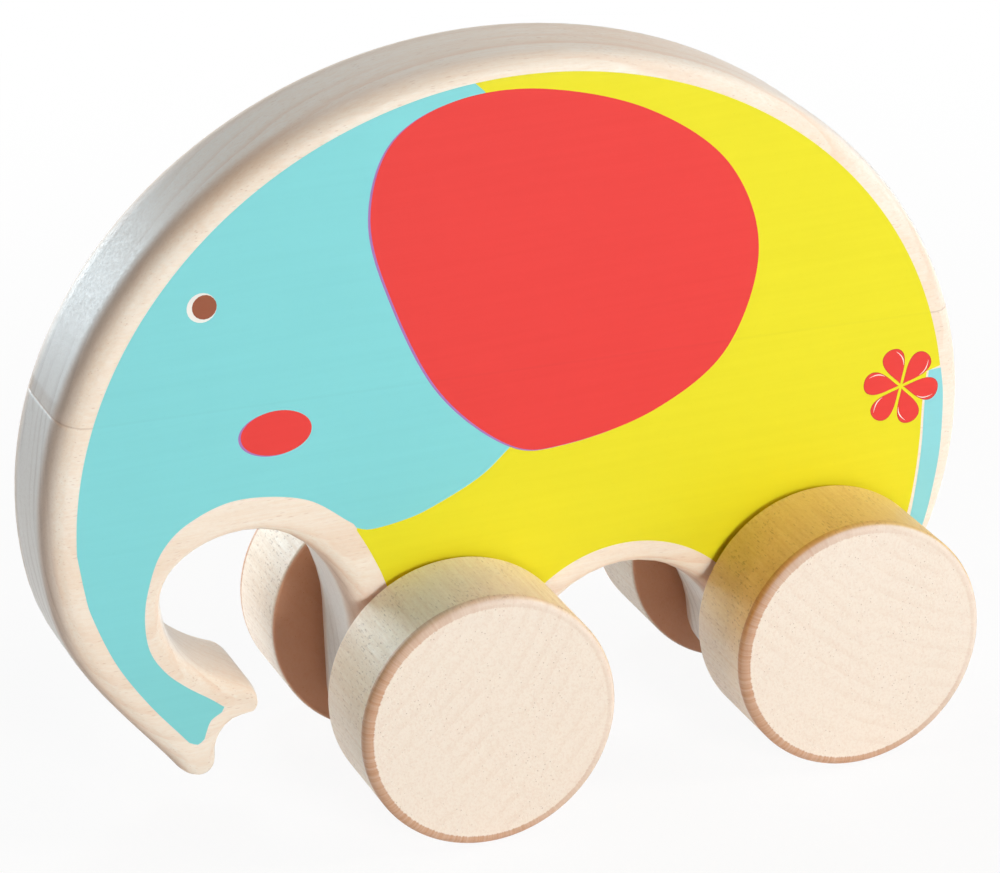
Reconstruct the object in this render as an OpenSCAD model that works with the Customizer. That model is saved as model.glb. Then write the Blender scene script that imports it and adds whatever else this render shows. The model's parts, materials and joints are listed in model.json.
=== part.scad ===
// Push-along wooden elephant: a plank body glued up from two boards, cut to the
// animal's outline and rounded along its edges, on two wooden wheelsets.
// Millimetres. The head points to -X, the wheels stand on z = 0, and the origin
// lies on the floor under the middle of the body.

/* [Body] */
// Length of the body from forehead to rump
body_l = 166; // [150:1:185]
// Height of the back above the floor
body_h = 129.5; // [120:0.5:145]
// Height above the floor at which the body is longest
waist_z = 57; // [52:0.5:62]
// Thickness of the plank
plank_t = 26; // [20:0.5:34]
// Width of the rounding along every edge, across the plank's faces
edge_w = 4; // [2:0.5:8]
// Depth of that rounding below the plank's faces
edge_depth = 7.5; // [3:0.5:9.5]

/* [Glue line] */
// Height of the glue line at the middle of the body
seam_z = 76; // [66:1:95]
// Fall of the glue line towards the rump, in degrees
seam_fall = 2.4; // [0:0.2:5]

/* [Trunk] */
// Width of the trunk beside the arch
trunk_w = 19.6; // [15:0.2:24]
// Height of the crown of the arch between trunk and front leg
arch_top = 54.2; // [50:0.2:60]
// Drop from that crown to the narrowest place of the trunk
arch_drop = 9.7; // [7:0.1:13]
// Distance from the trunk to that crown
arch_reach = 14.4; // [10:0.2:18]
// Distance of the lower lip's centre behind the forehead
lower_lip_x = 23.5; // [20:0.5:27]
// Height of the lower lip's centre above the floor
lower_lip_z = 15.1; // [12:0.1:18]
// Radius of the lower lip
lower_lip_r = 3.7; // [3:0.1:5]
// Reach of the upper lip's centre past the lower lip's
upper_lip_reach = 9; // [7:0.5:11]
// Rise of the upper lip's centre above the lower lip's
upper_lip_rise = 8.9; // [7:0.1:11]
// Radius of the upper lip
upper_lip_r = 2.5; // [2:0.1:4]
// Radius of the hollow between the two lips
mouth_r = 7; // [5:0.5:10]

/* [Legs] */
// Clearance of the soles above the floor
sole_z = 6.5; // [4:0.5:10]
// Radius of the corners at the soles
sole_r = 7; // [4:0.5:9]
// Width of the front leg
front_leg_w = 28.5; // [22:0.5:32]
// Height of the front leg's straight front edge above the floor
shin_z = 30; // [26:0.5:34]
// Width of the belly arch between the legs
belly_w = 40; // [34:0.5:46]
// Height of the belly arch's crown above the floor
belly_top = 35; // [31:0.5:40]
// Distance of the belly arch ahead of the middle of the wheelbase
belly_fwd = 0.8; // [0:0.1:3]

/* [Wheels] */
// Diameter of the wheels
wheel_d = 45; // [40:0.5:50]
// Width of each wheel
wheel_w = 18.5; // [15:0.5:24]
// Radius of the outer rim edge
rim_r = 1.2; // [0.5:0.1:3]
// Radius of the inner rim edge
inner_rim_r = 0.6; // [0.2:0.1:1.5]
// Distance between the two axles
wheelbase = 68; // [62:0.5:76]
// Distance of the middle of the wheelbase behind the middle of the body
wheelbase_aft = 19; // [14:0.5:24]
// Gap between the plank and each wheel
wheel_gap = 1.5; // [0.8:0.1:3]

/* [Axles] */
// Diameter of the axle dowels
axle_d = 8; // [6:0.5:10]
// Length of the dowel that is glued into each wheel
axle_grip = 12; // [8:0.5:14]
// Bevel at the ends of the dowels
axle_bevel = 0.8; // [0.4:0.1:1.5]
// Running clearance round the dowel in the plank
axle_clearance = 0.08; // [0.05:0.01:0.1]
// Glue gap round the dowel in the wheels
glue_gap = 0.05; // [0.02:0.01:0.1]

/* [Hidden] */
$fn = 96;

// Steps along the outline and over each rounded edge
dome_step = 2.5;
arc_step = 12;
curve_steps = 10;
corner_steps = 5;
edge_steps = 5;
// Share of the room behind a narrow lip that its rounded edge may take
edge_share = 0.8;
// Share of the last step by which the rounded edge runs on past the plank's face
trim = 0.5;
// Overlap of cutting shapes past the faces that they cut
cut = 1;
// Distance below which two points of the outline count as level
tiny = 0.001;

front_axle_x = wheelbase_aft - wheelbase / 2;
rear_axle_x = wheelbase_aft + wheelbase / 2;
wheel_r = wheel_d / 2;
wheel_y = plank_t / 2 + wheel_gap;
axle_l = 2 * (wheel_y + axle_grip);

dome_rx = body_l / 2;
dome_rz = body_h - waist_z;
belly_x = wheelbase_aft - belly_fwd;
// Rise of the curve from the rear sole into the rump, and where the dome begins and ends
rump_rise = 9;
rump_a = asin((sole_z + rump_rise - waist_z) / dome_rz);
brow_a = 190;

// Centres of the lips and of the hollow that touches them both
lower_lip = [lower_lip_x - dome_rx, lower_lip_z];
upper_lip = lower_lip + [upper_lip_reach, upper_lip_rise];
mouth = meet(lower_lip, lower_lip_r + mouth_r, upper_lip, upper_lip_r + mouth_r);
// Directions in which the trunk's two edges meet the lips
lower_lip_a = 216;
upper_lip_a = 420;
// Pull of the trunk's two edges and of the rear heel along their tangents, as shares of their length
outer_pull = 0.33;
inner_pull = 0.43;
heel_pull = 0.6;

arch_left = [trunk_w - dome_rx, arch_top - arch_drop];
front_leg_x = belly_x - belly_w / 2 - front_leg_w;
arch_x = arch_left.x + arch_reach;
belly_spring_z = sole_z + sole_r;

wood = [0.93, 0.82, 0.70];
dowel = [0.86, 0.72, 0.55];

// Centre at distances ra and rb from a and b, on the right of the way from a to b
function meet(a, ra, b, rb) =
    let (v = b - a, d = norm(v), u = v / d)
    let (along = (ra * ra - rb * rb + d * d) / (2 * d))
    a + along * u + sqrt(ra * ra - along * along) * [u.y, -u.x];

// Direction of a vector, as an angle
function heading(v) = atan2(v.y, v.x);

// Points of an ellipse's arc, without its last point
function arc(c, rx, rz, a, b, n) =
    [for (i = [0:n - 1]) c + [rx * cos(a + (b - a) * i / n), rz * sin(a + (b - a) * i / n)]];

function round_arc(c, r, a, b) = arc(c, r, r, a, b, ceil(abs(b - a) / arc_step));

// Points of a curve from p towards a to q out of b, without its last point
function curve(p, a, b, q, n) =
    [for (i = [0:n - 1]) let (t = i / n, s = 1 - t) s^3 * p + 3 * s^2 * t * a + 3 * s * t^2 * b + t^3 * q];

function dome(a) = [dome_rx * cos(a), waist_z + dome_rz * sin(a)];
function dome_heading(a) = heading([-dome_rx * sin(a), dome_rz * cos(a)]);
function polar(r, a) = r * [cos(a), sin(a)];

// The trunk's outer edge, from the forehead to the lower lip
function trunk_outside() =
    let (p = dome(brow_a), q = lower_lip + polar(lower_lip_r, lower_lip_a), h = outer_pull * norm(q - p))
    curve(p, p + polar(h, dome_heading(brow_a)), q - polar(h, lower_lip_a + 90), q, curve_steps);

function trunk_tip() = concat(
    round_arc(lower_lip, lower_lip_r, lower_lip_a, heading(mouth - lower_lip) + 360),
    round_arc(mouth, mouth_r, heading(lower_lip - mouth), heading(upper_lip - mouth)),
    round_arc(upper_lip, upper_lip_r, heading(mouth - upper_lip) + 360, upper_lip_a));

// The trunk's inner edge, from the upper lip to the arch
function trunk_inside() =
    let (p = upper_lip + polar(upper_lip_r, upper_lip_a), h = inner_pull * norm(arch_left - p))
    curve(p, p + polar(h, upper_lip_a + 90), arch_left - [0, h], arch_left, curve_steps);

function trunk_arch() = concat(
    arc([arch_x, arch_left.y], arch_x - arch_left.x, arch_drop, 180, 90, curve_steps),
    arc([arch_x, shin_z], front_leg_x - arch_x, arch_top - shin_z, 90, 0, curve_steps));

// A quarter round corner of a sole, ahead of its centre (a = 180) or behind it (a = 270)
function sole_corner(x, a) = round_arc([x, belly_spring_z], sole_r, a, a + 90);

// The front leg's sole, from the shin to the belly arch
function front_sole() =
    let (toe = front_leg_x + sole_r, heel = belly_x - belly_w / 2 - sole_r)
    concat([[front_leg_x, shin_z]], sole_corner(toe, 180), [[toe, sole_z]], sole_corner(heel, 270));

function belly_arch() =
    arc([belly_x, belly_spring_z], belly_w / 2, belly_top - belly_spring_z, 180, 0, 2 * curve_steps);

// The rear leg's sole, from the belly arch to the rump
function rear_sole() =
    let (toe = belly_x + belly_w / 2 + sole_r, rump = dome(rump_a), slope = dome_heading(rump_a))
    let (heel = rump - rump_rise / sin(slope) * polar(1, slope), p = heel - [rump_rise, 0])
    concat(
        sole_corner(toe, 180),
        [[toe, sole_z]],
        curve(p, p + heel_pull * (heel - p), rump + heel_pull * (heel - rump), rump, corner_steps));

// The elephant's whole outline, counter-clockwise in x and z from the rump
outline = concat(
    arc([0, waist_z], dome_rx, dome_rz, rump_a, brow_a, ceil((brow_a - rump_a) / dome_step)),
    trunk_outside(), trunk_tip(), trunk_inside(), trunk_arch(), front_sole(), belly_arch(), rear_sole());
count = len(outline);

function side(i) = outline[(i + count) % count];
// Direction out of the wood at each point of the outline
normals = [for (i = [0:count - 1]) let (v = side(i + 1) - side(i - 1)) [v.y, -v.x] / norm(v)];
// Radius of the largest circle in the outline that touches it at each point
room = [for (i = [0:count - 1]) min([
    for (p = outline) let (v = outline[i] - p, h = v * normals[i]) if (h > tiny) v * v / (2 * h)
])];
// Width of the rounded edge at each point
rounding = [for (r = room) min(edge_w, edge_share * r)];

// Rings from the left face round the edge to the right face, as [inset, depth below the face, face]
rings = concat(
    [for (k = [edge_steps:-1:0]) concat(edge_ring(k), -1)],
    [for (k = [0:edge_steps]) concat(edge_ring(k), 1)]);
last_ring = len(rings) - 1;

// Inset and depth on the rounded edge, as shares of its width and depth, where the last
// ring runs on past the face so that the face of the blank trims it
function edge_ring(k) =
    k < edge_steps ? round_edge(90 * k / edge_steps)
        : round_edge(90) + trim * (round_edge(90) - round_edge(90 - 90 / edge_steps));
function round_edge(a) = [1 - cos(a), 1 - sin(a)];

// The elephant's outline with all its edges rounded, a little thicker than the plank
module rounded_outline() {
    points = [
        for (ring = rings, i = [0:count - 1])
            let (p = outline[i] - rounding[i] * ring[0] * normals[i])
            [p.x, ring[2] * (plank_t / 2 - edge_depth * ring[1]), p.y]
    ];
    left_face = [[for (i = [count - 1:-1:0]) i]];
    right_face = [[for (i = [0:count - 1]) last_ring * count + i]];
    bands = [
        for (k = [0:last_ring - 1], i = [0:count - 1])
            let (a = k * count + i, b = k * count + (i + 1) % count)
            each [[a, b, b + count], [a, b + count, a + count]]
    ];
    polyhedron(points, concat(left_face, right_face, bands));
}

// Height of the glue line at x
function seam(x) = seam_z - x * tan(seam_fall);

// Section of a board that reaches from the glue line to height z, before it is cut to shape
module board_section(z) {
    polygon([[-body_l, z], [body_l, z], [body_l, seam(body_l)], [-body_l, seam(-body_l)]]);
}

module upper_section() board_section(body_h + cut);

// The lower board is drilled for both axles
module lower_section() {
    difference() {
        board_section(-cut);
        for (x = [front_axle_x, rear_axle_x])
            translate([x, wheel_r])
                circle(d = axle_d + 2 * axle_clearance);
    }
}

// A board of the plank's thickness with the section given, cut to the elephant's outline
module board() {
    color(wood)
        intersection() {
            rounded_outline();
            rotate([90, 0, 0])
                linear_extrude(plank_t, center = true)
                    children();
        }
}

module body_upper_board() board() upper_section();
module body_lower_board() board() lower_section();

// A dowel with bevelled ends
module axle(x) {
    color(dowel)
        translate([x, 0, wheel_r])
            rotate([90, 0, 0])
                rotate_extrude()
                    polygon([
                        [0, -axle_l / 2],
                        [axle_d / 2 - axle_bevel, -axle_l / 2],
                        [axle_d / 2, axle_bevel - axle_l / 2],
                        [axle_d / 2, axle_l / 2 - axle_bevel],
                        [axle_d / 2 - axle_bevel, axle_l / 2],
                        [0, axle_l / 2]
                    ]);
}

// Half section of a wheel, from its inner face up
module wheel_section() {
    difference() {
        union() {
            square([wheel_r - rim_r, wheel_w]);
            translate([0, inner_rim_r])
                square([wheel_r, wheel_w - inner_rim_r - rim_r]);
            square([wheel_r - inner_rim_r, wheel_w / 2]);
            translate([wheel_r - rim_r, wheel_w - rim_r])
                circle(rim_r);
            translate([wheel_r - inner_rim_r, inner_rim_r])
                circle(inner_rim_r);
        }
        translate([0, -cut])
            square([axle_d / 2 + glue_gap, axle_grip + cut]);
    }
}

// A wheel on the left (side = -1) or right (side = 1) end of an axle
module wheel(x, side) {
    color(wood)
        translate([x, side * wheel_y, wheel_r])
            rotate([-90 * side, 0, 0])
                rotate_extrude()
                    wheel_section();
}

module front_axle() axle(front_axle_x);
module rear_axle() axle(rear_axle_x);
module front_left_wheel() wheel(front_axle_x, -1);
module front_right_wheel() wheel(front_axle_x, 1);
module rear_left_wheel() wheel(rear_axle_x, -1);
module rear_right_wheel() wheel(rear_axle_x, 1);

body_upper_board();
body_lower_board();
front_axle();
front_left_wheel();
front_right_wheel();
rear_axle();
rear_left_wheel();
rear_right_wheel();
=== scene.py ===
"""Looks of a wooden push-along elephant: printed plank body, four solid wheels on two turning axles."""

import json
import math
from collections import namedtuple

import bmesh
import bpy
import numpy as np
from mathutils import Matrix, Vector
from mathutils.bvhtree import BVHTree
from mathutils.geometry import delaunay_2d_cdt

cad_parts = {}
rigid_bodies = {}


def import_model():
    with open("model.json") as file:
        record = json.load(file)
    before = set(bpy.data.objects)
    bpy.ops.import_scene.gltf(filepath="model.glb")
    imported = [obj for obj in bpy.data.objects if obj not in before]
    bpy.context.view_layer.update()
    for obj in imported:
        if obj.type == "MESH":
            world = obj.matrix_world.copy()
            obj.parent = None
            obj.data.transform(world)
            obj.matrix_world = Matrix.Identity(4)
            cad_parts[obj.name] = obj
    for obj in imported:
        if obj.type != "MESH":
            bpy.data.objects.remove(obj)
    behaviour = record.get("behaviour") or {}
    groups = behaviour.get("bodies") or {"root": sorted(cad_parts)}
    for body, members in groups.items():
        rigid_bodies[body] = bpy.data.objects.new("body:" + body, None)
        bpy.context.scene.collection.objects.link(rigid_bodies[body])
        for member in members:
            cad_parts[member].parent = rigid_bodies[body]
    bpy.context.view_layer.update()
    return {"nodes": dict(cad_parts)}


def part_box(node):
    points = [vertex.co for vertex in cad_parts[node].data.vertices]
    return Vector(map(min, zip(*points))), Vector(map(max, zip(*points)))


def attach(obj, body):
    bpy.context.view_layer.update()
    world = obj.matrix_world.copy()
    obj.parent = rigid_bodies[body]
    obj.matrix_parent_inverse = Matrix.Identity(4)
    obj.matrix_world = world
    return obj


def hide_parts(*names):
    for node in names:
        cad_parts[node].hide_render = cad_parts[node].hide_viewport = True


for start_object in list(bpy.data.objects):
    bpy.data.objects.remove(start_object)

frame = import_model()

MM = 0.001
SIDES = {"left": -1, "right": 1}

# Camera: place in metres, angles in degrees, focal length in pixels of the picture
IMAGE_WIDTH = 1000
CAMERA_PLACE = (-0.24386, -0.65121, 0.35576)
CAMERA_YAW = 20.584
CAMERA_PITCH = 23.129
CAMERA_ROLL = -2.118
FOCAL_PIXELS = 4433.33
SENSOR_WIDTH = 36.0

# Glue line between the two boards, in millimetres: height at x = 0 and its slope
SEAM_HEIGHT = 76.0
SEAM_SLOPE = math.tan(math.radians(2.4))

# Paint films: height of the lowest one over the wood, step from one to the next, depth into the wood
FILM_HEIGHT = 0.012
FILM_STEP = 0.008
FILM_DEPTH = 0.02

# Outlines of the print: length of a step, and shorter steps than this are joined
OUTLINE_STEP = 0.7
SHORTEST_STEP = 0.05


# Colours

def srgb(red, green, blue):
    """A linear colour from 0 to 255 display values."""
    def linear(value):
        value /= 255
        return value / 12.92 if value <= 0.04045 else ((value + 0.055) / 1.055) ** 2.4
    return (linear(red), linear(green), linear(blue), 1.0)


TURQUOISE = srgb(134, 219, 224)
RED = srgb(237, 60, 56)
YELLOW = srgb(239, 228, 24)
WHITE = srgb(246, 243, 238)
BROWN = srgb(154, 84, 56)
VIOLET = srgb(170, 120, 190)
DARK_RED = srgb(196, 46, 48)
PALE_TURQUOISE = srgb(146, 220, 229)


# Shader graphs

class Graph:
    """A material and short ways to add nodes to it."""

    def __init__(self, name):
        self.material = bpy.data.materials.new(name)
        self.material.use_nodes = True
        self.nodes = self.material.node_tree.nodes
        self.links = self.material.node_tree.links
        self.shader = self.nodes["Principled BSDF"]

    def node(self, kind, inputs, **settings):
        """Adds a node; an input is a socket to link or a value to set."""
        node = self.nodes.new("ShaderNode" + kind)
        for key, value in settings.items():
            setattr(node, key, value)
        for key, value in inputs.items():
            self.put(node.inputs[key], value)
        return node

    def put(self, socket, value):
        if isinstance(value, bpy.types.NodeSocket):
            self.links.new(value, socket)
        else:
            socket.default_value = value

    def math(self, operation, first, second=0.0, clamp=False):
        return self.node("Math", {0: first, 1: second}, operation=operation, use_clamp=clamp).outputs[0]

    def vector(self, operation, first, second):
        return self.node("VectorMath", {0: first, 1: second}, operation=operation).outputs[0]

    def step(self, value, low, high, to_low=0.0, to_high=1.0):
        """Goes smoothly from to_low to to_high while value goes from low to high."""
        inputs = {"Value": value, "From Min": low, "From Max": high, "To Min": to_low, "To Max": to_high}
        return self.node("MapRange", inputs, interpolation_type="SMOOTHSTEP").outputs[0]

    def noise(self, point, scale, detail=2.0, roughness=0.5):
        """Noise from 0 to 1; scale is the count of blobs in a millimetre along x, y and z."""
        inputs = {"Vector": self.vector("MULTIPLY", point, scale), "Scale": 1.0, "Detail": detail,
                  "Roughness": roughness}
        return self.node("TexNoise", inputs).outputs["Fac"]

    def cells(self, point, scale):
        """Distance to the nearest of many scattered points."""
        inputs = {"Vector": self.vector("MULTIPLY", point, scale), "Scale": 1.0}
        return self.node("TexVoronoi", inputs).outputs["Distance"]

    def mix(self, factor, first, second):
        node = self.nodes.new("ShaderNodeMix")
        node.data_type = "RGBA"
        self.put(node.inputs[0], factor)
        self.put(node.inputs[6], first)
        self.put(node.inputs[7], second)
        return node.outputs[2]

    def parts(self, vector):
        return self.node("SeparateXYZ", {0: vector}).outputs

    def place(self):
        """Place in the part's frame in millimetres, and the surface's direction; both move with the piece."""
        coordinates = self.node("TexCoord", {})
        point = self.vector("MULTIPLY", coordinates.outputs["Object"], (1 / MM,) * 3)
        return point, coordinates.outputs["Normal"]

    def bump(self, height, depth):
        """Relief of this depth in millimetres where height goes from 0 to 1."""
        node = self.node("Bump", {"Height": height, "Strength": 1.0, "Distance": depth * MM})
        self.put(self.shader.inputs["Normal"], node.outputs[0])


# Wood

# Colours along the fibres (light, dark, late wood of a year ring, pores) and on end grain (end, late_end),
# and how strong the year rings, speckles, pores, short flecks and pits in the end grain are
Wood = namedtuple("Wood", "light dark late pore end late_end rings end_rings speckles pores flecks pits")

BODY_WOOD = Wood(light=srgb(255, 245, 233), dark=srgb(246, 223, 201), late=srgb(230, 178, 136),
                 pore=srgb(190, 136, 102), end=srgb(246, 243, 239), late_end=srgb(186, 174, 166),
                 rings=0.3, end_rings=0.35, speckles=0.3, pores=0.3, flecks=0.06, pits=0.2)
WHEEL_WOOD = Wood(light=srgb(255, 245, 233), dark=srgb(236, 215, 194), late=srgb(204, 166, 132),
                  pore=srgb(160, 124, 98), end=srgb(246, 232, 218), late_end=srgb(222, 186, 162),
                  rings=0.12, end_rings=0.13, speckles=0.5, pores=0.35, flecks=0.42, pits=0.6)

# Where late wood starts and where it is darkest, as shares of a year ring
LATE_START = 0.45
LATE_PEAK = 0.93

# Blobs in a millimetre along the fibres and across them
WANDER_SCALE = (0.008, 0.06, 0.03)
RING_STRENGTH_SCALE = (0.01, 0.12, 0.04)
FIBRE_SCALE = (0.09, 2.0, 2.0)
BLOTCH_SCALE = (0.02, 0.07, 0.07)
SPECKLE_SCALE = (0.9, 2.0, 2.0)
PORE_ROW_SCALE = (0.05, 0.45, 0.45)
PORE_SCALE = (0.35, 2.1, 2.1)
PATCH_SCALE = (0.06, 0.12, 0.12)
FLECK_SCALE = (1.1, 2.2, 2.2)
PIT_SCALE = (1.2, 1.2, 1.2)

# How the tone of the wood is put together, and how deep its marks are in millimetres
FIBRE_SHARE = 0.5
BLOTCH_SHARE = 0.6
TONE_SPREAD = 0.28
DOT_SHARE = 0.5
MARK_DEPTH = 0.04


def growth_rings(graph, point, pith, spacing, waver):
    """From 0 to 1 across each year ring of a board whose pith runs along x, with a dark line at its end."""
    wander = graph.noise(point, WANDER_SCALE, detail=3.0)
    strength = graph.step(graph.noise(point, RING_STRENGTH_SCALE, detail=2.0), 0.3, 0.7)
    from_pith = graph.vector("MULTIPLY", graph.vector("SUBTRACT", point, pith), (0, 1, 1))
    radius = graph.node("VectorMath", {0: from_pith}, operation="LENGTH").outputs["Value"]
    warped = graph.math("ADD", radius, graph.math("MULTIPLY", wander, waver))
    season = graph.math("FRACT", graph.math("DIVIDE", warped, spacing))
    rise = graph.step(season, LATE_START, LATE_PEAK)
    fall = graph.step(season, LATE_PEAK, 1.0, 1.0, 0.0)
    return graph.math("MULTIPLY", graph.math("MULTIPLY", rise, fall), strength)


def wood_marks(graph, point, kind):
    """How dark the pores and flecks along the fibres are, and the pits in the end grain."""
    rows = graph.step(graph.noise(point, PORE_ROW_SCALE, detail=2.0), 0.42, 0.62, 0.25, 1.0)
    pores = graph.step(graph.cells(point, PORE_SCALE), 0.10, 0.26, kind.pores, 0.0)
    pores = graph.math("MULTIPLY", pores, rows)
    patches = graph.step(graph.noise(point, PATCH_SCALE, detail=2.0), 0.38, 0.62, 0.2, 1.0)
    flecks = graph.step(graph.noise(point, FLECK_SCALE, detail=2.0), 0.56, 0.70, 0.0, kind.flecks)
    marks = graph.math("ADD", pores, graph.math("MULTIPLY", flecks, patches), clamp=True)
    pits = graph.step(graph.cells(point, PIT_SCALE), 0.06, 0.17, kind.pits, 0.0)
    return marks, graph.math("MULTIPLY", pits, patches)


def wood(graph, point, facing, kind, rings):
    """Pale close-grained wood with its fibres along x: sets roughness and relief, and returns the colour."""
    fibre = graph.noise(point, FIBRE_SCALE, detail=5.0, roughness=0.62)
    blotch = graph.noise(point, BLOTCH_SCALE, detail=3.0)
    speckle = graph.noise(point, SPECKLE_SCALE, detail=4.0, roughness=0.75)
    marks, pits = wood_marks(graph, point, kind)

    tone = graph.math("ADD", graph.math("MULTIPLY", fibre, FIBRE_SHARE),
                      graph.math("MULTIPLY", blotch, BLOTCH_SHARE))
    tone = graph.math("ADD", tone, graph.math("MULTIPLY", speckle, kind.speckles))
    middle = (FIBRE_SHARE + BLOTCH_SHARE + kind.speckles) / 2
    tone = graph.step(tone, middle - TONE_SPREAD, middle + TONE_SPREAD)
    along = graph.mix(tone, kind.light, kind.dark)
    along = graph.mix(graph.math("MULTIPLY", rings, kind.rings), along, kind.late)
    along = graph.mix(marks, along, kind.pore)

    dots = graph.math("MULTIPLY", graph.step(speckle, 0.42, 0.68), kind.speckles)
    across = graph.mix(graph.math("MULTIPLY", rings, kind.end_rings), kind.end, kind.late_end)
    across = graph.mix(graph.math("MULTIPLY", dots, DOT_SHARE), across, kind.late_end)
    across = graph.mix(pits, across, kind.pore)
    ends = graph.step(graph.math("ABSOLUTE", graph.parts(facing)[0]), 0.4, 0.92)

    graph.put(graph.shader.inputs["Roughness"], graph.step(fibre, 0.2, 0.8, 0.44, 0.60))
    graph.bump(graph.math("SUBTRACT", graph.math("MULTIPLY", speckle, kind.speckles), marks), MARK_DEPTH)
    return graph.mix(ends, along, across)


GLUE = srgb(176, 132, 98)
GLUE_HALF_WIDTH = 0.2
GLUE_SHARE = 0.3
GLUE_CORE = 0.4


def seam_line(graph, point, half_width):
    """1 on the glue line between the boards and 0 beside it."""
    x, _, z = graph.parts(point)
    from_seam = graph.math("ADD", z, graph.math("MULTIPLY", x, SEAM_SLOPE))
    from_seam = graph.math("ABSOLUTE", graph.math("SUBTRACT", from_seam, SEAM_HEIGHT))
    return graph.step(from_seam, half_width * GLUE_CORE, half_width, 1.0, 0.0)


# Painted shade on the rounding along the plank's edges: its tint, between which distances from the plank's
# middle in millimetres the shade comes in and goes, and how it comes in as the edge turns towards the front
PAINTED_EDGE_SHADE = (0.82, 0.69, 0.60)
PAINTED_EDGE_SHADE_FROM = (5.0, 8.0)
PAINTED_EDGE_SHADE_UNTIL = (9.0, 12.3)
PAINTED_EDGE_SHADE_FACING = (0.3, -0.8)


BOARD_WAVER = 10.0


def board_material(name, pith, spacing):
    """Board of the plank: grain along the animal, painted shade on its front edges and the glue line."""
    graph = Graph(name)
    point, facing = graph.place()
    colour = wood(graph, point, facing, BODY_WOOD, growth_rings(graph, point, pith, spacing, BOARD_WAVER))
    # Painted shade: a darker band on the rounding, more where the edge faces the front
    off_middle = graph.math("ABSOLUTE", graph.parts(point)[1])
    edge_shade = graph.math("MULTIPLY", graph.step(off_middle, *PAINTED_EDGE_SHADE_FROM),
                        graph.step(off_middle, *PAINTED_EDGE_SHADE_UNTIL, 1.0, 0.0))
    edge_shade = graph.math("MULTIPLY", edge_shade, graph.step(graph.parts(facing)[0], *PAINTED_EDGE_SHADE_FACING))
    colour = graph.mix(edge_shade, colour, graph.vector("MULTIPLY", colour, PAINTED_EDGE_SHADE))
    glue = graph.math("MULTIPLY", seam_line(graph, point, GLUE_HALF_WIDTH), GLUE_SHARE)
    graph.put(graph.shader.inputs["Base Color"], graph.mix(glue, colour, GLUE))
    return graph.material


# Rounded edge of a wheel, burnished by the lathe and stronger on the lower left as painted shade,
# and its inner face, darkened as painted shade from the body beside it
BURNISHED_AND_SHADED = srgb(198, 146, 110)
BURNISHED_WIDTH = 1.75
BURNISHED_SOFT = 0.25
STROKE_COUNT = 52
STROKE_REACH = 0.7
WORN_AND_SHADED_SIDE = (-0.8, 0, -0.4)
WORN_AND_SHADED_SCALE = (0.08, 0.08, 0.08)
PAINTED_INNER_SHADE = srgb(206, 122, 56)
PAINTED_INNER_SHADE_SHARE = 0.72

# Painted reflection of the yellow body, with painted shade, on the upper part of a rim: its tint, the heights
# over the axle between which it comes in, and how far inside the rim it starts and is full
PAINTED_BOUNCE = (0.95, 0.75, 0.34)
PAINTED_BOUNCE_HEIGHTS = (0, 12)
PAINTED_BOUNCE_INSET = (0.5, 0.1)

WHEEL_RINGS = 3.2
WHEEL_WAVER = 2.5


def across_grain(graph, vector):
    """The vector turned about z, so that a grain along y runs along x."""
    inputs = {"Vector": vector, "Axis": (0, 0, 1), "Angle": math.radians(90)}
    return graph.node("VectorRotate", inputs).outputs[0]


def burnished_and_shaded_edge(graph, local, flat, reach, width, radius, half_width):
    """From 0 to 1 on the outer edge of a wheel: ragged strokes, more on the lower left as painted shade."""
    rim_start, face_start = radius - BURNISHED_WIDTH, half_width - BURNISHED_WIDTH
    around = graph.node("VectorMath", {0: flat}, operation="NORMALIZE").outputs[0]
    strokes = graph.noise(around, (STROKE_COUNT,) * 3, detail=3.0, roughness=0.7)
    uneven_reach = graph.math("MULTIPLY", graph.math("SUBTRACT", strokes, 0.5), STROKE_REACH)
    ragged = graph.math("ADD", reach, uneven_reach)
    near_rim = graph.step(ragged, rim_start, rim_start + BURNISHED_SOFT)
    near_face = graph.step(width, face_start, face_start + BURNISHED_SOFT)
    # Painted shade: the burnish grows towards the lower left, with some random unevenness
    worn_and_shaded = graph.node("VectorMath", {0: local, 1: WORN_AND_SHADED_SIDE}, operation="DOT_PRODUCT").outputs["Value"]
    worn_and_shaded = graph.math("ADD", worn_and_shaded, graph.math("MULTIPLY", graph.noise(local, WORN_AND_SHADED_SCALE), radius))
    worn_and_shaded = graph.step(worn_and_shaded, -0.4 * radius, 1.1 * radius, 0.15, 0.95)
    scratch = graph.step(strokes, 0.25, 0.7, 0.7, 1.0)
    return graph.math("MULTIPLY", graph.math("MULTIPLY", near_rim, near_face),
                      graph.math("MULTIPLY", worn_and_shaded, scratch))


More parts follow.
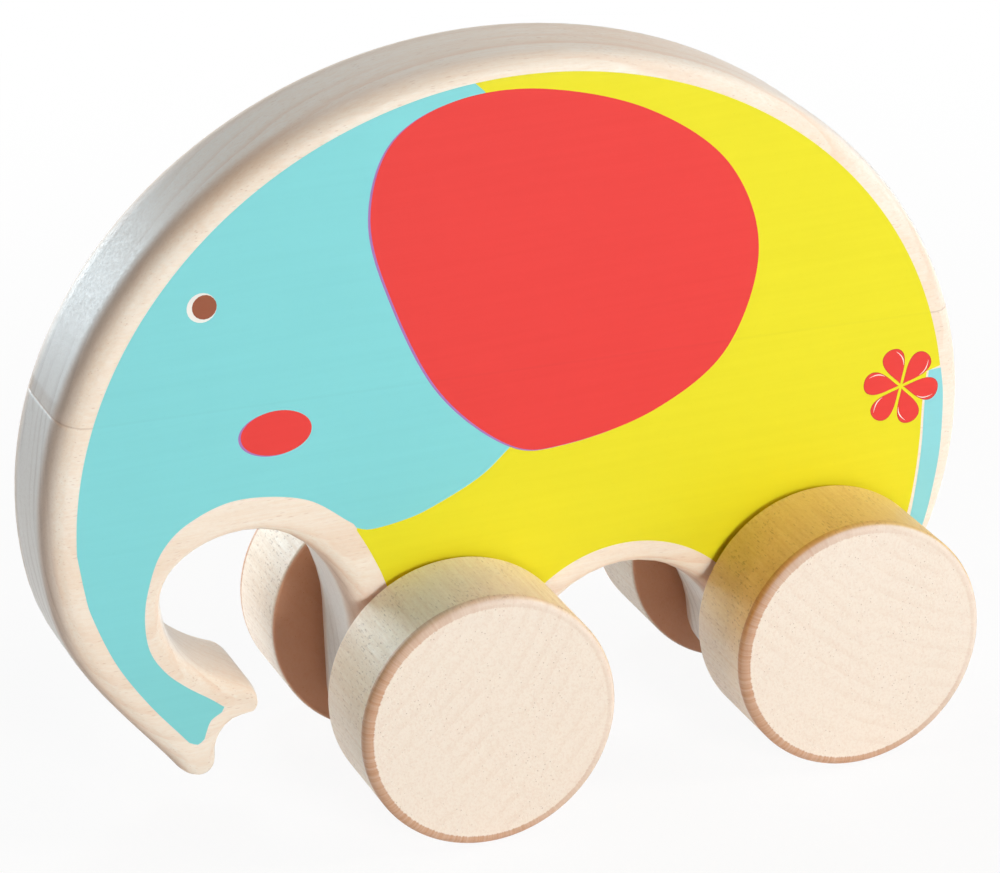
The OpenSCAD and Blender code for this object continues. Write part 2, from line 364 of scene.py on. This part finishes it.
def wheel_material(name, node, pith, bounce_share):
    """Slice of a turned bar: end grain on the faces, and the grain along the axle on the rim."""
    low, high = (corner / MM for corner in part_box(node))
    centre = (low + high) / 2
    radius = (high.x - low.x) / 2
    half_width = (high.y - low.y) / 2

    graph = Graph(name)
    point, facing = graph.place()
    local = graph.vector("SUBTRACT", point, centre)
    turned = across_grain(graph, local)
    rings = growth_rings(graph, turned, pith, WHEEL_RINGS, WHEEL_WAVER)
    colour = wood(graph, turned, across_grain(graph, facing), WHEEL_WOOD, rings)

    flat = graph.vector("MULTIPLY", local, (1, 0, 1))
    reach = graph.node("VectorMath", {0: flat}, operation="LENGTH").outputs["Value"]
    outwards = math.copysign(1, centre.y)
    width = graph.math("MULTIPLY", graph.parts(local)[1], outwards)
    # Lathe burnish on the rim's edge, made stronger on the lower left as painted shade
    edge = burnished_and_shaded_edge(graph, local, flat, reach, width, radius, half_width)
    colour = graph.mix(edge, colour, BURNISHED_AND_SHADED)

    # Painted reflection and shade: the upper rim is tinted golden and darker, as the yellow body beside it
    # would light it
    upper = graph.step(graph.parts(local)[2], *PAINTED_BOUNCE_HEIGHTS, 0.0, bounce_share)
    on_rim = graph.step(reach, *(radius - inset for inset in PAINTED_BOUNCE_INSET))
    upper = graph.math("MULTIPLY", upper, on_rim)
    colour = graph.mix(upper, colour, graph.vector("MULTIPLY", colour, PAINTED_BOUNCE))

    # Painted shade: the inner face, which the body beside it shades, is made a darker brown
    inwards = graph.math("MULTIPLY", graph.parts(facing)[1], -outwards)
    inner_shade = graph.step(inwards, 0.5, 0.95, 0.0, PAINTED_INNER_SHADE_SHARE)
    graph.put(graph.shader.inputs["Base Color"], graph.mix(inner_shade, colour, PAINTED_INNER_SHADE))
    return graph.material


AXLE_PITH = (0, 40, -30)
AXLE_RINGS = 2.4
AXLE_WAVER = 4.0


def axle_material(name):
    """Turned dowel: grain along the axle."""
    graph = Graph(name)
    point, facing = graph.place()
    turned = across_grain(graph, point)
    rings = growth_rings(graph, turned, AXLE_PITH, AXLE_RINGS, AXLE_WAVER)
    colour = wood(graph, turned, across_grain(graph, facing), WHEEL_WOOD, rings)
    graph.put(graph.shader.inputs["Base Color"], colour)
    return graph.material


# Paint

# The grain that shows through: pith, ring spacing, scales in blobs in a millimetre, and each one's share
PRINT_PITH = (0, 70, 20)
PRINT_RINGS = 4.2
PRINT_FIBRE_SCALE = (0.03, 0.9, 0.9)
PRINT_BLOTCH_SCALE = (0.03, 0.03, 0.03)
PRINT_SPECK_SCALE = (0.7, 0.7, 0.7)
PRINT_SHARES = {"rings": 0.07, "fibre": 0.9, "blotch": 0.7, "seam": 0.15}
PRINT_SEAM_HALF_WIDTH = 0.3
PRINT_SHADE = 0.26
PRINT_RELIEF = 0.015
PRINT_SEAM_RELIEF = 0.4
PRINT_SHINE = 0.35


def paint_material(name, colour, shade):
    """Thin satin print through which the board's grain and the glue line show a little."""
    graph = Graph(name)
    point, _ = graph.place()
    rings = growth_rings(graph, point, PRINT_PITH, PRINT_RINGS, BOARD_WAVER)
    fibre = graph.noise(point, PRINT_FIBRE_SCALE, detail=5.0, roughness=0.6)
    blotch = graph.noise(point, PRINT_BLOTCH_SCALE, detail=4.0)
    speck = graph.step(graph.cells(point, PRINT_SPECK_SCALE), 0.03, 0.09, 0.35, 0.0)
    seam = seam_line(graph, point, PRINT_SEAM_HALF_WIDTH)

    tone = graph.math("ADD", graph.math("MULTIPLY", rings, PRINT_SHARES["rings"]),
                      graph.math("MULTIPLY", fibre, PRINT_SHARES["fibre"]))
    tone = graph.math("ADD", tone, graph.math("MULTIPLY", blotch, PRINT_SHARES["blotch"]))
    tone = graph.step(tone, 0.45, 1.35, 0.0, PRINT_SHADE)
    tone = graph.math("ADD", tone, graph.math("MULTIPLY", seam, PRINT_SHARES["seam"]))
    tone = graph.math("ADD", tone, speck, clamp=True)
    graph.put(graph.shader.inputs["Base Color"], graph.mix(tone, colour, shade))
    graph.put(graph.shader.inputs["Roughness"], graph.step(fibre, 0.25, 0.75, 0.48, 0.60))
    graph.shader.inputs["Specular IOR Level"].default_value = PRINT_SHINE
    relief = graph.math("SUBTRACT", fibre, graph.math("MULTIPLY", seam, PRINT_SEAM_RELIEF))
    graph.bump(relief, PRINT_RELIEF)
    return graph.material


def darker(colour, amount):
    return tuple(value * amount for value in colour[:3]) + (1.0,)


# Curves of the print, in millimetres: x towards the tail, z up, as seen from the left

def ellipse(centre, radii, start, end):
    """Points along an ellipse, from one angle to another in degrees."""
    count = max(8, round(abs(math.radians(end - start)) * max(radii) / OUTLINE_STEP))
    angles = np.radians(np.linspace(start, end, count + 1))
    return np.stack([centre[0] + radii[0] * np.cos(angles), centre[1] + radii[1] * np.sin(angles)], 1)


def curve(points, closed=False):
    """Points along a smooth line through the points given."""
    knots = np.array(points, float)
    if closed:
        knots = np.vstack([knots[-1], knots, knots[:2]])
    else:
        knots = np.vstack([2 * knots[0] - knots[1], knots, 2 * knots[-1] - knots[-2]])
    stretches = []
    for before, start, end, after in zip(knots, knots[1:], knots[2:], knots[3:]):
        count = max(2, round(np.linalg.norm(end - start) / OUTLINE_STEP))
        t = np.arange(count)[:, None] / count
        line = 2 * start + (end - before) * t
        bend = (2 * before - 5 * start + 4 * end - after) * t ** 2
        twist = (3 * start - before - 3 * end + after) * t ** 3
        stretches.append((line + bend + twist) / 2)
    if not closed:
        stretches.append(knots[-2:-1])
    return np.vstack(stretches)


def joined(*stretches):
    """One closed outline from stretches that follow each other, without doubled points."""
    points = np.vstack(stretches)
    following = np.roll(points, -1, axis=0)
    return points[np.linalg.norm(following - points, axis=1) > SHORTEST_STEP]


# The edge of the print over the back, and the arch over the belly
BACK_CENTRE = (-0.1, 55.95)
BACK_RADII = (78.2, 71.05)
BELLY_CENTRE = (17.4, 13.2)
BELLY_RADII = (25.9, 27.5)

# The line where head and body meet, from the trunk to the ear
NECK = [(-30.2, 52.9), (-27.7, 52.2), (-22.2, 52.7), (-17.1, 54.0), (-8.2, 57.9), (-2.6, 62.2)]
OVERLAP = 0.3

# Where they meet above the ear: on the edge of the ear, and on the edge over the back in degrees
NECK_TOP = (-4.6, 125.4)
NECK_ANGLE = 94.3


def head_outline():
    forehead = ellipse(BACK_CENTRE, BACK_RADII, NECK_ANGLE, 179)
    trunk_front = curve([(-77.6, 51.3), (-76.6, 46.1), (-73.1, 36.7), (-68.1, 28.3), (-62.3, 20.6)])
    lower_lip = curve([(-61.6, 19.7), (-60.1, 19.0), (-58.9, 19.8)])
    mouth = curve([(-58.6, 20.7), (-57.6, 22.9), (-55.6, 24.1)])
    trunk_back = curve([(-55.1, 25.0), (-57.4, 26.9), (-61.3, 29.9), (-64.8, 33.4), (-67.2, 37.8),
                        (-67.7, 43.4), (-66.7, 49.0), (-64.0, 55.2), (-58.9, 59.5), (-50.3, 61.9),
                        (-39.0, 59.8), (-30.8, 53.8)])
    under_ear = curve([(0, 68), (6, 90), (2, 112), NECK_TOP])
    return joined(forehead, trunk_front, lower_lip, mouth, trunk_back, curve(NECK), under_ear)


def body_outline():
    back = ellipse(BACK_CENTRE, BACK_RADII, NECK_ANGLE, 5.4)
    beside_tail = curve([(75.2, 62.0), (74.4, 57.0), (73.9, 50.0), (73.0, 43.0), (71.5, 36.0),
                         (69.0, 29.8), (65.8, 24.2), (62.0, 19.6), (57.6, 16.4), (52.6, 14.7)])
    rear_sole = curve([(49, 14.5), (44.9, 14.6), (43.4, 15.9)])
    belly = ellipse(BELLY_CENTRE, BELLY_RADII, 8, 172)
    front_sole = curve([(-8.5, 15.9), (-9.9, 14.6), (-14, 14.5), (-20, 14.5), (-22.9, 14.8), (-23.7, 16.6)])
    shin = curve([(-23.8, 22), (-23.9, 30), (-24.4, 36.5), (-25.8, 42.5), (-28.0, 48.0), (-30.2, 52.4)])
    neck = np.array(curve(NECK)) + (0, OVERLAP)
    under_ear = curve([(-3, 72), (-10, 90), (-10, 112), (-7.5, 121), NECK_TOP])
    return joined(back, beside_tail, rear_sole, belly, front_sole, shin, neck, under_ear)


EAR = [(-25.2, 107), (-21, 119), (-10, 124.5), (5.5, 124.3), (24.1, 117.9), (38.4, 106.2), (43.6, 90),
       (37.5, 73.2), (24, 64.3), (7.5, 61), (-2.8, 62.9), (-14.8, 74.9), (-22.6, 93.2)]


def ear_outline():
    return curve(EAR, closed=True)


# Where red lies over turquoise, the inks overlap a little towards the trunk
FRINGE_SHIFT = (-0.42, -0.1)

CHEEK_CENTRE = (-43.25, 72.55)
CHEEK_RADII = (6.15, 3.9)
EYE_CENTRE = (-54.55, 96.5)
EYE_RADIUS = 2.55
PUPIL_RADIUS = 2.1
PUPIL_SHIFT = (0.45, 0.05)


def oval(centre, radii):
    """A whole ellipse as a closed outline."""
    return ellipse(centre, radii, 0, 360)[:-1]


def tail_outline():
    outer = curve([(77.9, 62.2), (78.3, 57.5), (78.1, 51.0), (77.5, 45.3), (76.2, 39.0), (74.9, 34.0),
                   (73.0, 29.4), (70.6, 25.4)])
    tip = curve([(69.8, 24.6), (69.2, 24.9), (69.3, 25.8)])
    inner = curve([(71.0, 30.4), (72.2, 35.8), (73.4, 42.2), (74.3, 49.0), (74.8, 56.5), (75.6, 62.1)])
    return joined(outer, tip, inner)


# Flower beside the tail: six petals like drops
FLOWER_CENTRE = (70.2, 60.1)
PETAL_COUNT = 6
PETAL_TURN = 45.0
PETAL_START = 0.5
PETAL_LENGTH = 6.7
PETAL_WIDTH = 4.0
PETAL_TAPER = 1.5
PETAL_RIM = 0.09


def petal_outline(index, rim=0.0):
    """A drop with its point by the flower's centre; rim makes it that much larger all round."""
    turn = np.linspace(0, math.tau, 48, endpoint=False)
    along = PETAL_START - rim + (PETAL_LENGTH + 2 * rim) * (1 - np.cos(turn)) / 2
    drop = np.sin(turn) * np.sin(turn / 2) ** PETAL_TAPER
    across = (PETAL_WIDTH / 2 + rim) * drop / drop.max()
    return petal_place(index, along, across)


def petal_place(index, along, across):
    angle = math.radians(PETAL_TURN + 360 / PETAL_COUNT * index)
    x = FLOWER_CENTRE[0] + along * math.cos(angle) - across * math.sin(angle)
    z = FLOWER_CENTRE[1] + along * math.sin(angle) + across * math.cos(angle)
    return np.stack([x, z], 1)


def glint_outline(index):
    """A thin bright stroke along one side of a petal."""
    t = np.linspace(0, 1, 14)
    along = PETAL_START + PETAL_LENGTH * (0.46 + 0.44 * t)
    middle = -PETAL_WIDTH * 0.42 * np.sin(math.pi * (0.34 + 0.48 * t))
    half = 0.07 * np.sin(math.pi * t) + 0.02
    along = np.concatenate([along, along[::-1]])
    across = np.concatenate([middle - half, (middle + half)[::-1]])
    return petal_place(index, along, across)


# Meshes

# The plank's half thickness and how deep its rounded edges go, in millimetres, and how gently they start
PLANK_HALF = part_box("body_upper_board")[1].y / MM
EDGE_DEPTH = 7.5
EDGE_ONSET = 1.15

# How close to the glued side and to an axle a face of a board or a bore lies, in millimetres
SEAM_WIDTH = 0.02
BORE_MARGIN = 0.2

# Points closer than this become one: of a board in metres, and of a cut in millimetres
BOARD_MERGE = 0.002 * MM
MERGE_WITHIN = 0.001

# Edges sharper than this are shaded sharp
BOARD_SHARP = math.radians(35)
FILM_SHARP = math.radians(50)

AXLES = ("front_axle", "rear_axle")


def edge_direction(place, normal):
    """Shading direction on the plank: it leaves the flat sides gently and turns more towards the edge."""
    sunk = min(max((PLANK_HALF - abs(place.y) / MM) / EDGE_DEPTH, 0.0), 1.0)
    tilt = math.pi / 2 * (1 - (1 - sunk ** EDGE_ONSET) ** 2)
    outwards = Vector((normal.x, 0, normal.z)).normalized()
    return outwards * math.sin(tilt) + Vector((0, math.copysign(math.cos(tilt), place.y), 0))


def shade_edges(mesh, is_outside):
    """Sets the shading direction at the corners of the faces that are on the plank's outside."""
    directions = [edge_direction(vertex.co, vertex.normal) for vertex in mesh.vertices]
    normals = [Vector()] * len(mesh.loops)
    for face in mesh.polygons:
        if is_outside(face):
            for loop in face.loop_indices:
                normals[loop] = directions[mesh.loops[loop].vertex_index]
    mesh.normals_split_custom_set(normals)


def on_board(mesh):
    """Tells the outside of a board from its glued side and its bores."""
    bores = [(low + high) / 2 for low, high in (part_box(node) for node in AXLES)]
    bore_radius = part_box(AXLES[0])[1].z - bores[0].z + BORE_MARGIN * MM

    def in_bore(place):
        return any(math.hypot(place.x - bore.x, place.z - bore.z) < bore_radius for bore in bores)

    def on_seam(place):
        return abs(place.z / MM + place.x / MM * SEAM_SLOPE - SEAM_HEIGHT) < SEAM_WIDTH

    def is_outside(face):
        places = [mesh.vertices[index].co for index in face.vertices]
        return not all(map(in_bore, places)) and not all(map(on_seam, places))
    return is_outside


def board_piece(name, node, material):
    """A smooth-shaded copy of a board of the plank."""
    mesh = frame["nodes"][node].data.copy()
    mesh.name = name
    shape = bmesh.new()
    shape.from_mesh(mesh)
    bmesh.ops.remove_doubles(shape, verts=shape.verts, dist=BOARD_MERGE)
    bmesh.ops.recalc_face_normals(shape, faces=shape.faces)
    shape.to_mesh(mesh)
    shape.free()
    for layer in ("custom_normal", "sharp_face", "sharp_edge"):
        if layer in mesh.attributes:
            mesh.attributes.remove(mesh.attributes[layer])
    mesh.shade_smooth()
    mesh.set_sharp_from_angle(angle=BOARD_SHARP)
    shade_edges(mesh, on_board(mesh))
    mesh.materials.clear()
    mesh.materials.append(material)
    piece = bpy.data.objects.new(name, mesh)
    bpy.context.scene.collection.objects.link(piece)
    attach(piece, "body")
    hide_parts(node)
    return piece


def plank_tree(boards):
    """Both boards as one thing that rays can be cast at."""
    points, faces = [], []
    for board in boards:
        start = len(points)
        points += [vertex.co.copy() for vertex in board.data.vertices]
        faces += [[start + index for index in face.vertices] for face in board.data.polygons]
    return BVHTree.FromPolygons(points, faces)


# How far a facet turns to one side to count as looking there
FACING = 0.1


def edges_facing(boards, side):
    """Both ends of each edge between the facets that look to one side, flat in x and z."""
    ends = []
    for board in boards:
        places = [(vertex.co.x / MM, vertex.co.z / MM) for vertex in board.data.vertices]
        facets = [face for face in board.data.polygons if face.normal.y * side > FACING]
        keys = {key for face in facets for key in face.edge_keys}
        ends += [(places[first], places[second]) for first, second in sorted(keys)]
    return np.array(ends)


# Rays towards the plank: how far off they start and how far apart they are, in metres
RAY_START = 0.1
RAY_SPREAD = 0.005 * MM


def wood_side(x, z, side):
    """How far out the plank's side is at x, z; two rays, so that none slips through the glue line."""
    reach = []
    for shift in (-RAY_SPREAD, RAY_SPREAD):
        hit = tree.ray_cast(Vector((x, side * RAY_START, z + shift)), Vector((0, -side, 0)))[0]
        if hit is not None:
            reach.append(side * hit.y)
    return max(reach, default=0.0)


def is_inside(points, outline):
    """Which of the points lie inside a closed outline."""
    x, z = points[:, :1], points[:, 1:]
    x0, z0 = outline.T
    x1, z1 = np.roll(outline, -1, axis=0).T
    spans = (z0 > z) != (z1 > z)
    rise = np.where(z1 == z0, 1.0, z1 - z0)
    crossing = x0 + (z - z0) / rise * (x1 - x0)
    return (spans & (x < crossing)).sum(1) % 2 == 1


def cut_facets(loops, side):
    """The facets on one side of the plank, cut along closed loops: points and triangles inside the first."""
    points, edges = [], []
    for loop in loops:
        start = len(points)
        points += list(loop)
        edges += [(start + index, start + (index + 1) % len(loop)) for index in range(len(loop))]
    ends = side_edges[side]
    near = (ends.max(1) > loops[0].min(0)).all(1) & (ends.min(1) < loops[0].max(0)).all(1)
    for pair in ends[near]:
        edges.append((len(points), len(points) + 1))
        points += list(pair)
    corners, _, triangles, _, _, _ = delaunay_2d_cdt(
        [Vector(point) for point in points], edges, [], 0, MERGE_WITHIN)
    flat = np.array([tuple(corner) for corner in corners])
    triangles = np.array(triangles)
    middles = flat[triangles].mean(1)
    keep = is_inside(middles, loops[0])
    for hole in loops[1:]:
        keep &= ~is_inside(middles, hole)
    return flat, triangles[keep]


def film(name, outline, layer, material, holes=()):
    """A thin closed film of paint on each side of the plank, which follows the facets of the wood."""
    for side_name, side in SIDES.items():
        corners, triangles = cut_facets([outline, *holes], side)
        film_piece(f"{name}_{side_name}", corners, triangles, side, layer, material)


def film_piece(name, corners, triangles, side, layer, material):
    """One film: its outer side, its border walls and its inner side, which is sunk into the wood."""
    top = (FILM_HEIGHT + FILM_STEP * layer) * MM
    shape = bmesh.new()
    outer, inner = {}, {}
    for index in np.unique(triangles):
        x, z = corners[index] * MM
        reach = wood_side(x, z, side)
        outer[index] = shape.verts.new((x, side * (reach + top), z))
        inner[outer[index]] = shape.verts.new((x, side * (reach - FILM_DEPTH * MM), z))
    for triangle in triangles:
        shape.faces.new([outer[index] for index in triangle]).smooth = True
    for edge in [edge for edge in shape.edges if edge.is_boundary]:
        first, second = edge.verts
        shape.faces.new([first, second, inner[second], inner[first]])
    for triangle in triangles:
        shape.faces.new([inner[outer[index]] for index in reversed(triangle)])
    bmesh.ops.recalc_face_normals(shape, faces=shape.faces)
    mesh = bpy.data.meshes.new(name)
    shape.to_mesh(mesh)
    shape.free()
    mesh.set_sharp_from_angle(angle=FILM_SHARP)
    shade_edges(mesh, lambda face: face.use_smooth)
    mesh.materials.append(material)
    piece = bpy.data.objects.new(name, mesh)
    bpy.context.scene.collection.objects.link(piece)
    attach(piece, "body")


# Room that a film leaves round an axle, in millimetres
AXLE_MARGIN = 0.6


def axle_hole(node):
    """The hole that a film leaves round an axle."""
    low, high = (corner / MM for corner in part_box(node))
    middle = (low + high) / 2
    radius = (high.z - low.z) / 2 + AXLE_MARGIN
    return oval((middle.x, middle.z), (radius, radius))


# The object

boards = [
    board_piece("upper_board", "body_upper_board", board_material("upper_board_wood", (0, 150, 60), 4.6)),
    board_piece("lower_board", "body_lower_board", board_material("lower_board_wood", (0, -170, 90), 2.6)),
]
tree = plank_tree(boards)
side_edges = {side: edges_facing(boards, side) for side in SIDES.values()}

# Where the pith of each wheel's wood runs beside the wheel's middle, and how strong the painted reflection on
# its rim is
WHEELS = {
    "front_left_wheel": ((0, -48, 48), 0.3),
    "front_right_wheel": ((0, 46, 50), 0.1),
    "rear_left_wheel": ((0, 34, 49), 1.0),
    "rear_right_wheel": ((0, -40, -58), 0.1),
}
for node, (pith, bounce_share) in WHEELS.items():
    wheel = frame["nodes"][node]
    wheel.material_slots[0].material = wheel_material(f"{node}_wood", node, pith, bounce_share)
for node in AXLES:
    frame["nodes"][node].material_slots[0].material = axle_material(f"{node}_wood")

# Each print's colour, and how much darker it is where the grain shows through
PRINTS = {
    "turquoise": (TURQUOISE, 0.86),
    "red": (RED, 0.84),
    "yellow": (YELLOW, 0.84),
    "white": (WHITE, 0.86),
    "brown": (BROWN, 0.80),
    "pale_turquoise": (PALE_TURQUOISE, 0.86),
    "violet": (VIOLET, 0.86),
    "dark_red": (DARK_RED, 0.80),
}
paint = {name: paint_material(f"{name}_print", colour, darker(colour, shade))
         for name, (colour, shade) in PRINTS.items()}

axle_holes = [axle_hole(node) for node in AXLES]
film("body_print", body_outline(), 0, paint["yellow"], axle_holes)
film("head_print", head_outline(), 1, paint["turquoise"])
film("tail_print", tail_outline(), 1, paint["pale_turquoise"])
film("ear_fringe", ear_outline() + FRINGE_SHIFT, 2, paint["violet"])
film("ear_print", ear_outline(), 3, paint["red"])
film("cheek_fringe", oval(CHEEK_CENTRE, CHEEK_RADII) + FRINGE_SHIFT, 2, paint["violet"])
film("cheek_print", oval(CHEEK_CENTRE, CHEEK_RADII), 3, paint["red"])
film("eye_white", oval(EYE_CENTRE, (EYE_RADIUS, EYE_RADIUS)), 2, paint["white"])
pupil_centre = np.add(EYE_CENTRE, PUPIL_SHIFT)
film("eye_pupil", oval(pupil_centre, (PUPIL_RADIUS, PUPIL_RADIUS)), 3, paint["brown"])
for petal in range(PETAL_COUNT):
    film(f"petal_rim_{petal + 1}", petal_outline(petal, PETAL_RIM), 2, paint["dark_red"])
    film(f"petal_{petal + 1}", petal_outline(petal), 3, paint["red"])
    film(f"petal_glint_{petal + 1}", glint_outline(petal), 4, paint["white"])


# Floor, light and camera

# How much of the floor's white is its own glow by the object and further away, and between which distances
# from the origin, in millimetres, it goes from one to the other
FLOOR_SIZE = 12
FLOOR_COLOURS = (srgb(252, 246, 243), srgb(249, 242, 238))
FLOOR_GRAIN_SCALE = (0.004, 0.004, 0.004)
FLOOR_ROUGHNESS = 0.9
FLOOR_GLOW = (0.92, 1.0)
FLOOR_DISTANCES = (60, 420)


def make_floor():
    """A pale floor that shows a part of the object's shadow, and is white further away."""
    bpy.ops.mesh.primitive_plane_add(size=FLOOR_SIZE)
    floor = bpy.context.object
    floor.name = "floor"
    graph = Graph("floor_white")
    point, _ = graph.place()
    grain = graph.noise(point, FLOOR_GRAIN_SCALE, detail=3.0)
    graph.put(graph.shader.inputs["Base Color"], graph.mix(grain, *FLOOR_COLOURS))
    graph.shader.inputs["Roughness"].default_value = FLOOR_ROUGHNESS
    glow = graph.node("Emission", {"Color": (1, 1, 1, 1), "Strength": 1.0}).outputs[0]
    rays = graph.node("LightPath", {}).outputs
    seen = graph.math("ADD", rays["Is Camera Ray"], rays["Is Glossy Ray"])
    seen = graph.math("ADD", seen, rays["Is Transmission Ray"], clamp=True)
    away = graph.node("VectorMath", {0: point}, operation="LENGTH").outputs["Value"]
    share = graph.math("MULTIPLY", seen, graph.step(away, *FLOOR_DISTANCES, *FLOOR_GLOW))
    blend = graph.node("MixShader", {0: share, 1: graph.shader.outputs[0], 2: glow}).outputs[0]
    graph.put(graph.nodes["Material Output"].inputs["Surface"], blend)
    floor.data.materials.append(graph.material)


WORLD_LIGHT = 0.03
WORLD_COLOUR = (0.93, 0.97, 1.0, 1.0)


def make_world():
    """Soft light from all round; the camera sees white."""
    world = bpy.data.worlds.new("studio")
    world.use_nodes = True
    bpy.context.scene.world = world
    nodes, links = world.node_tree.nodes, world.node_tree.links
    light = nodes["Background"]
    light.inputs["Color"].default_value = WORLD_COLOUR
    light.inputs["Strength"].default_value = WORLD_LIGHT
    backdrop = nodes.new("ShaderNodeBackground")
    backdrop.inputs["Color"].default_value = (1, 1, 1, 1)
    rays = nodes.new("ShaderNodeLightPath")
    blend = nodes.new("ShaderNodeMixShader")
    seen = nodes.new("ShaderNodeMath")
    seen.operation = "MAXIMUM"
    links.new(rays.outputs["Is Camera Ray"], seen.inputs[0])
    links.new(rays.outputs["Is Glossy Ray"], seen.inputs[1])
    links.new(seen.outputs[0], blend.inputs[0])
    links.new(light.outputs[0], blend.inputs[1])
    links.new(backdrop.outputs[0], blend.inputs[2])
    links.new(blend.outputs[0], nodes["World Output"].inputs["Surface"])


# Soft lamps: where they look, how far off and how wide they are, in metres
LAMP_TARGET = Vector((0, 0, 0.06))
LAMP_DISTANCE = 1.1
LAMP_SIZE = 0.3

# Degrees round the object from its left side towards the tail, degrees up, watts and colour
LAMPS = {
    "key": (10, 16, 6.5, (0.96, 1.0, 0.98)),
    "right": (60, 40, 3.5, (1.0, 0.87, 0.76)),
    "low_right": (75, 8, 2.6, (0.62, 0.82, 1.0)),
    "back_left": (-160, 6, 6.2, (0.80, 0.93, 1.0)),
    "back_top": (180, 60, 2.7, (0.82, 0.92, 1.0)),
}

# Spots on the wheels: place, target, cone in degrees, size, watts and colour
SPOTS = {
    "near_wheels": ((-1.05, -0.25, 0.05), (-0.01, -0.026, 0.015), 6.0, 0.1, 27.0, (1.0, 0.82, 0.66)),
    "far_wheels": ((-1.05, 0.10, 0.06), (-0.037, 0.05, 0.025), 4.5, 0.02, 30.0, (1.0, 0.95, 0.93)),
}


def make_lamp(name, azimuth, elevation, power, colour):
    """A round soft lamp that looks at the middle of the object."""
    turn, rise = math.radians(azimuth), math.radians(elevation)
    outwards = Vector((math.cos(rise) * math.sin(turn), -math.cos(rise) * math.cos(turn), math.sin(rise)))
    data = bpy.data.lights.new(name, "AREA")
    data.shape = "DISK"
    data.size = LAMP_SIZE
    hang_lamp(data, LAMP_TARGET + LAMP_DISTANCE * outwards, LAMP_TARGET, power, colour)


def make_spot(name, place, target, cone, size, power, colour):
    """A lamp that lights a small round area; the cone is in degrees."""
    data = bpy.data.lights.new(name, "SPOT")
    data.spot_size = math.radians(cone)
    data.spot_blend = 1.0
    data.shadow_soft_size = size
    hang_lamp(data, Vector(place), Vector(target), power, colour)


def hang_lamp(data, place, target, power, colour):
    """Puts a lamp into the scene, turned towards its target."""
    data.energy = power
    data.color = colour
    lamp = bpy.data.objects.new(data.name, data)
    bpy.context.scene.collection.objects.link(lamp)
    lamp.location = place
    lamp.rotation_euler = (target - place).to_track_quat("-Z", "Y").to_euler()


def make_camera():
    """The camera of the picture."""
    yaw, pitch, roll = (math.radians(angle) for angle in (CAMERA_YAW, CAMERA_PITCH, CAMERA_ROLL))
    ahead = Vector((math.sin(yaw) * math.cos(pitch), math.cos(yaw) * math.cos(pitch), -math.sin(pitch)))
    level = Vector((math.cos(yaw), -math.sin(yaw), 0))
    upright = level.cross(ahead)
    right = math.cos(roll) * level + math.sin(roll) * upright
    up = math.cos(roll) * upright - math.sin(roll) * level
    data = bpy.data.cameras.new("camera")
    data.sensor_width = SENSOR_WIDTH
    data.lens = FOCAL_PIXELS / IMAGE_WIDTH * SENSOR_WIDTH
    camera = bpy.data.objects.new("camera", data)
    bpy.context.scene.collection.objects.link(camera)
    turn = Matrix((right, up, -ahead)).transposed()
    camera.matrix_world = Matrix.Translation(CAMERA_PLACE) @ turn.to_4x4()
    bpy.context.scene.camera = camera


make_floor()
make_world()
for lamp_name, settings in LAMPS.items():
    make_lamp(lamp_name, *settings)
for lamp_name, settings in SPOTS.items():
    make_spot(lamp_name, *settings)
make_camera()

bpy.context.scene.view_settings.view_transform = "Standard"
